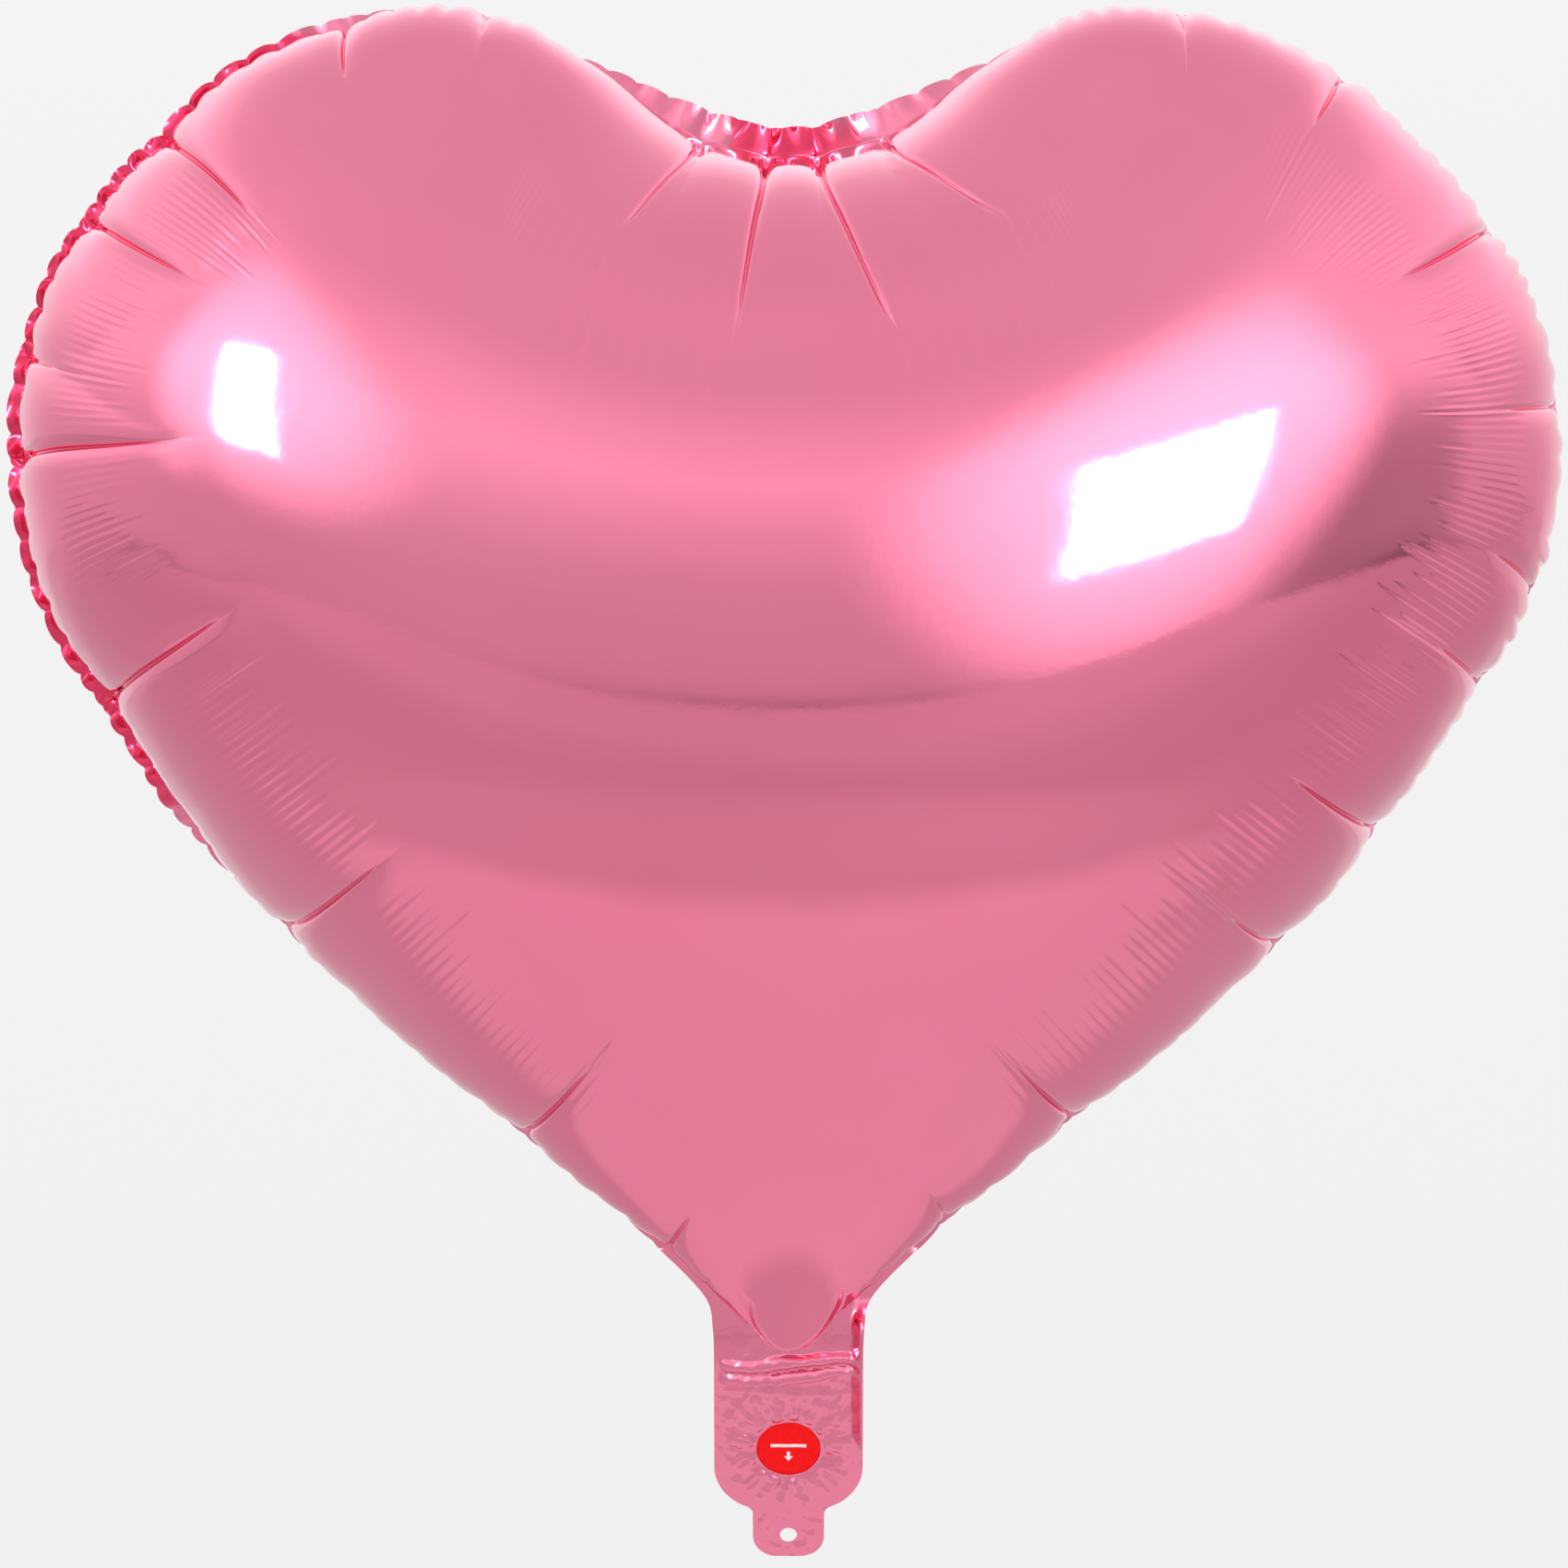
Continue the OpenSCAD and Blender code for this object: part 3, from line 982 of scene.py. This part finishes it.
def film_lift(x, t, edge, side):
    """Lift of the front (side 1) or back (-1) film of the neck and tail; edge is the distance in."""
    curl = CURL * smoothstep((x - CURL_X) / (3.4 * MM))
    curl *= smoothstep((t - CURL_TOP) / (8 * MM)) * smoothstep((CURL_END - t) / (12 * MM))
    wave = crumple(x, t) * (0.35 + 0.65 * opened(edge))
    bulge = pleats(x, t) * smoothstep((t - NECK_END) / MM)
    bulge += puckers(x, t) * smoothstep((t - TAIL_TOP) / MM)
    return wave + curl + side * (SEAL_GAP + (bulge + SHEET_GAP - SEAL_GAP) * opened(edge))


# --- the heart's two films


# Room left above the lobes for the gathers and the flange
TOP_ROOM = 2.2 * MM


def smooth_heart(loop, points, step):
    """The smooth front of the blown-up heart at these flat points, in its place."""
    flat, co = inflate(loop, step)
    base = smooth_surface(flat, co, loop, step)(points)
    base[:, 2] += HEART_TOP - TOP_ROOM - base[:, 2].max()
    base = trim(settle(base))
    base[:COLUMNS, 1] = 0
    return base


def heart_films(material):
    """The heart's front and back film, each with its own half of the flange."""
    loop = flat_heart()
    length = perimeter(loop)
    points, quads, tris, (place, depth, row) = heart_grid(loop)
    base = smooth_heart(loop, points, 8 * MM)
    split = np.vstack([quads[:, [0, 1, 2]], quads[:, [0, 2, 3]], tris])
    normals = vertex_normals(base, split)
    turn = -1 if normals[:, 1].sum() > 0 else 1
    normals *= turn
    normals[:COLUMNS, 1] = 0
    normals /= np.linalg.norm(normals, axis=1)[:, None]
    rim, out, order = base[:COLUMNS], normals[:COLUMNS], place[:COLUMNS]
    band = len(place)
    foot = np.stack([np.interp(place, order, rim[:, k], period=length) for k in (0, 2)], 1)
    seen = np.linalg.norm(base[:band, [0, 2]] - foot, axis=1)
    pull = seal_pull(place, length)
    flange = seal_flange(rim + out * pull[:COLUMNS, None], out, order, length)
    fade = smoothstep((1 - row) / 0.15)
    parting = SHEET_GAP * smoothstep((26 * MM - foot[:, 1]) / (10 * MM))
    near = np.exp(-depth / (2 * MM))
    films = []
    for film, name in enumerate(("front_film", "back_film")):
        lift = gather(place, depth, seen, length, film) * fade * smoothstep(depth / (1.2 * MM))
        lift += pull * np.exp(-(depth / (8 * MM)) ** 2)
        shaped = base.copy()
        shaped[:band] += normals[:band] * lift[:, None]
        shaped[:COLUMNS, 1] = 0
        shaped[:band, 1] -= parting * near
        films.append(join_flange(name, shaped, quads, tris, flange[film], film, turn, material))
    return films


# The flange's lean to the back in degrees, and its width in mm: usually, and what is added where it
# shows on the left and at the notch. In the notch's middle the lean changes once more.
FLANGE_LEAN = (68, -96, -62)
MIDDLE_LEAN = -30
FLANGE_WIDTH = (2.8, 1.5, 5.0)
# Waves of the cut edge, in cycles round the rim
FLANGE_WAVES = (61, 89, 133, 171)


def flange_form(place, length):
    """The flange's lean in radians, its width, and the height of its waves at the cut edge."""
    share = half_share(place, length)
    notch = smoothstep((share - 0.90) / 0.07)
    shown = smoothstep((share - 0.28) / 0.1) * (1 - smoothstep((share - 0.76) / 0.08))
    shown = shown * (place > length / 2)
    middle = smoothstep((share - 0.968) / 0.02)
    usual, at_left, at_notch = FLANGE_LEAN
    lean = np.radians(usual + at_left * shown + at_notch * notch + MIDDLE_LEAN * middle)
    lean = lean * smoothstep((share - 0.04) / 0.06)
    arch, _, _ = arches(place, scallop_knots(length)[0])
    usual, at_left, at_notch = FLANGE_WIDTH
    wide = (usual + at_left * shown + at_notch * notch) * MM
    wide = wide * (1 - 0.25 * (1 - arch ** 0.5) * (1 - notch))
    draw = np.random.default_rng(31)
    wave = np.zeros_like(place)
    for cycles in FLANGE_WAVES:
        tall = draw.uniform(0.5, 1.0)
        wave += tall * np.sin(2 * np.pi * cycles * place / length + draw.uniform(0, 6.28))
    wave *= (0.30 + 0.35 * notch * (1 - middle)) * MM * smoothstep((share - 0.08) / 0.05)
    return lean, wide, wave


# The cut edge leaves the tail's side at this height, and runs on this far outside the seal
MERGE_Z = 24 * MM
EDGE_ROOM = 3 * MM
# Share of the way to there at which the cut edge turns the corner between the neck's end and its side
CORNER = 0.42


def neck_edge(seal, share, on_left):
    """The cut edge round the neck: half the tail's width, then up its side and along the seal.

    Returns its x without a sign, its distance below the fold, whether it runs across the neck's
    end, and how far the flange there is a flat film of the neck."""
    right = ~on_left & (seal[:, 2] < 60 * MM)
    order = np.argsort(seal[right][:, 2])
    seal_z, seal_x = seal[right][order][:, 2], seal[right][order][:, 0]
    merge_share = np.interp(MERGE_Z, seal_z, share[right][order])
    run = np.clip(share / merge_share, 0, 1)
    t = NECK_END - (NECK_END + MERGE_Z) * np.clip((run - CORNER) / (1 - CORNER), 0, 1)
    beside = np.interp(-t, seal_z, seal_x) + EDGE_ROOM - TAIL_W / 2
    swell = TAIL_W / 2 + (beside + np.sqrt(beside ** 2 + EDGE_ROOM ** 2)) / 2
    near = smoothstep((t - NECK_END + 8 * MM) / (8 * MM))
    side_x = swell * (1 - near) + TAIL_W / 2 * near
    x = np.where(run < CORNER, TAIL_W / 2 * run / CORNER, side_x)
    neck = smoothstep((merge_share * 1.25 - share) / (merge_share * 0.35))
    return x, t, run < CORNER, neck


def seal_flange(seal, outward, place, length):
    """Rows from the seal's line out to the cut edge, for the front and for the back film.

    Round the neck the rows widen into flat films, which run down over the fold."""
    lean, wide, wave = flange_form(place, length)
    on_left = place > length / 2
    edge_x, edge_t, at_end, neck = neck_edge(seal, half_share(place, length), on_left)
    sign = np.where(on_left, -1, 1)
    out = outward * np.cos(lean)[:, None] + np.array([0, 1.0, 0]) * np.sin(lean)[:, None]
    films = []
    for side in (1, -1):
        rows = []
        for k in range(1, FLANGE_ROWS + 1):
            w = k / FLANGE_ROWS
            plain = seal + out * (wide * w)[:, None]
            plain[:, 1] += wave * w - side * SEAL_GAP
            x = np.abs(seal[:, 0]) * (1 - w) + edge_x * w
            t = -seal[:, 2] * (1 - w) + edge_t * w
            edge = np.minimum(TAIL_W / 2 - x, (1 - w) * 20 * MM)
            edge = np.where(at_end, TAIL_W / 2 - x, edge)
            lift = film_lift(x * sign, t, np.maximum(edge, 0), side)
            flat = film_point(x * sign, t, lift)
            rows.append(plain * (1 - neck)[:, None] + flat * neck[:, None])
        films.append(rows)
    return films


def join_flange(name, shaped, quads, tris, flange, film, turn, material):
    """One film with its own flange, as a mesh piece."""
    mirror = np.array([1, 1 if film == 0 else -1, 1])
    co = [shaped * mirror, *flange]
    first = len(shaped)
    faces = [quads]
    inner = np.arange(COLUMNS)
    for k in range(len(flange)):
        outer = first + k * COLUMNS + np.arange(COLUMNS)
        faces.append(np.stack([inner, outer, np.roll(outer, -1), np.roll(inner, -1)], 1))
        inner = outer
    quads = np.vstack(faces)
    if (turn < 0) != (film == 1):
        quads, tris = quads[:, ::-1], tris[:, ::-1]
    return make_mesh(name, np.vstack(co), list(quads) + list(tris), material)


# --- the tail's films, valve and mark


FINE = 0.42 * MM
# Radii of the tail's lower corners, of the fillets between tail and tab, and of the tab's corners
TAIL_CORNER, FILLET, TAB_CORNER = 13 * MM, 2.5 * MM, 6 * MM


def circle_loop(t, r, count):
    a = 2 * np.pi * np.arange(count) / count
    return np.stack([r * np.cos(a), t + r * np.sin(a)], 1)


def tail_outline(top):
    """The tail and tab as one closed loop of (x, distance below the fold)."""
    w, tab = TAIL_W / 2, TAB_W / 2
    level = TAIL_LEN - 1 * MM - TAIL_CORNER
    over = tab + FILLET - (w - TAIL_CORNER)
    down = math.sqrt((TAIL_CORNER + FILLET) ** 2 - over ** 2)
    turn = math.atan2(down, over)
    right = np.vstack([
        [[w, top]],
        arc(np.array([w - TAIL_CORNER, level]), TAIL_CORNER, 0, turn, 14),
        arc(np.array([tab + FILLET, level + down]), FILLET, turn + math.pi, math.pi, 6),
        arc(np.array([tab - TAB_CORNER, TAIL_END - TAB_CORNER]), TAB_CORNER, 0, math.pi / 2, 11)])
    return np.vstack([right, (right * [-1, 1])[::-1]])


def outline_points(loop, spacing):
    """Splits a loop's long edges evenly and keeps its own corners."""
    out = []
    for a, b in zip(loop, np.roll(loop, -1, axis=0)):
        parts = max(1, int(round(np.hypot(*(b - a)) / spacing)))
        out += [a + (b - a) * k / parts for k in range(parts)]
    return np.array(out)


def film_pair(name, outline, holes, recess, material):
    """A front and a back film in an outline of (x, t). The front one alone has the last hole.

    recess gives, at each t, how far a film lies inside the one it joins."""
    whole = tail_outline(-60 * MM)
    pieces = []
    for word, cut, side in (("front", holes, 1), ("back", holes[:1], -1)):
        flat, faces = lattice(outline, FINE, cut)
        edge = np.minimum.reduce([loop_distance(flat, line) for line in (whole, *holes[:1])])
        x, t = flat.T
        lift = film_lift(x, t, edge, side) - side * recess(t) * (0.12 + 0.88 * opened(edge))
        if side > 0:
            faces = faces[:, ::-1]
        pieces.append(make_mesh(f"{name}_{word}_film", film_point(x, t, lift), faces, material))
    return pieces


def fold_films(material):
    top, end = FOLD_FILMS
    half = TAIL_W / 2
    outline = outline_points(np.array([[half, top], [half, end], [-half, end], [-half, top]]), FINE)
    return film_pair("fold", outline, (), lambda t: 0.12 * MM * smoothstep((2 * MM - t) / MM), material)


def tail_films(material):
    outline = outline_points(tail_outline(TAIL_TOP), FINE)
    holes = circle_loop(HOLE_DROP, HOLE_R, 32), circle_loop(INLET_DROP, INLET_R, 72)
    return film_pair("tail", outline, holes, lambda t: 0.06 * MM * smoothstep((12 * MM - t) / MM),
                     material)


# How far the disc, and the bar and arrow on it, lie in front of the tail's middle plane
DISC_LIFT, SIGN_LIFT = 0.12 * MM, 0.15 * MM
SIGN_STEP = 0.3 * MM
# Corners in mm of the bar, from BAR_RISE above the inlet's middle, and of the arrow, from ARROW_DROP
# below it
BAR = ((-4.4, -0.45), (4.4, -0.45), (4.4, 0.45), (-4.4, 0.45))
BAR_RISE = 0.8 * MM
ARROW = ((-0.4, 0), (0.4, 0), (0.4, 1.4), (1.1, 1.4), (0, 2.8), (-1.1, 1.4), (-0.4, 1.4))
ARROW_DROP = 1.0 * MM


def sheet(name, loop, step, lift, material, side=1):
    """A sheet along the tail's middle plane, lifted off it, that faces the front (1) or back (-1)."""
    flat, faces = lattice(loop, step)
    x, t = flat.T
    return make_mesh(name, film_point(x, t, crumple(x, t) + lift), faces[:, ::-side], material)


def inlet_mark(red, white):
    """The print behind the inlet: a red disc with a plain bar and a small arrow."""
    disc = circle_loop(INLET_DROP, INLET_R + 0.7 * MM, 72)
    pieces = [sheet("inlet_mark_disc", disc, 0.8 * MM, DISC_LIFT, red)]
    for word, shape, drop in (("bar", BAR, -BAR_RISE), ("arrow", ARROW, ARROW_DROP)):
        loop = outline_points(np.array(shape) * MM + [0, INLET_DROP + drop], SIGN_STEP)
        pieces.append(sheet(f"inlet_mark_{word}", loop, SIGN_STEP, SIGN_LIFT, white))
    return pieces


VALVE_STEP = 0.9 * MM
# Distance of each valve film from the plane between them
VALVE_LIFT = 0.05 * MM
# The lips are full width from LIP_FULL above the fold, and narrow to LIP_FOOT each side at VALVE_END
LIP_FULL, LIP_FOOT, VALVE_END = 34 * MM, 5 * MM, 5 * MM


def valve_sheet(name, side, right, material):
    """One clear film of the valve. right lists the corners (x, t) of its right half, top first."""
    corners = np.vstack([right, (np.array(right) * [-1, 1])[::-1]])
    loop = outline_points(corners, VALVE_STEP)
    return sheet(name, loop, VALVE_STEP, side * VALVE_LIFT, material, side)


def bend_at_neck(piece):
    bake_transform(piece)


def add_foil():
    """The heart's films, the fold's films and the tail's films, which include the tab."""
    foil = foil_material()
    for film, node in zip(heart_films(foil), ("front_foil_panel", "back_foil_panel")):
        bend_at_neck(film)
        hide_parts(node)
    for film in fold_films(foil):
        bend_at_neck(film)
    for film, word in zip(tail_films(foil), ("front", "back")):
        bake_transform(film)
        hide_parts(f"tail_{word}_foil", f"tab_{word}_foil")


def add_mark():
    pieces = inlet_mark(ink_material("mark_ink", (0.93, 0.004, 0.006)),
                        ink_material("mark_white", (0.85, 0.80, 0.80)))
    for piece in pieces:
        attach(piece, TAIL)
    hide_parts("inlet_mark")


def add_valve():
    """The strip inside the tail, and the lips, which narrow toward the neck to stay inside the heart."""
    material = valve_material()
    lip_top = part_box("valve_front_lip")[1].z
    strip_half = [(STRIP_HALF, -VALVE_END), (STRIP_HALF, STRIP_END)]
    lip_half = [(STRIP_HALF, -lip_top), (STRIP_HALF, -LIP_FULL), (LIP_FOOT, -VALVE_END)]
    for side, word in ((1, "front"), (-1, "back")):
        strip = valve_sheet(f"valve_{word}_film", side, strip_half, material)
        lip = valve_sheet(f"valve_{word}_lip_film", side, lip_half, material)
        bend_at_neck(strip)
        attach(lip, f"{word}_lip")
        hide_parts(f"valve_{word}_strip")
        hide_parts(f"valve_{word}_lip")


def add_floor():
    bpy.ops.mesh.primitive_plane_add(size=FLOOR_SIZE, location=(0, 0, -FLOOR_DROP))
    floor = bpy.context.object
    floor.name = "floor"
    floor.data.materials.append(floor_material())


def main():
    add_camera()
    add_world()
    for name, place, size, power in SOFTBOXES:
        add_softbox(name, place, size, power)
    add_foil()
    add_mark()
    add_valve()
    add_floor()


main()
bpy.context.scene.view_settings.view_transform = "Standard"
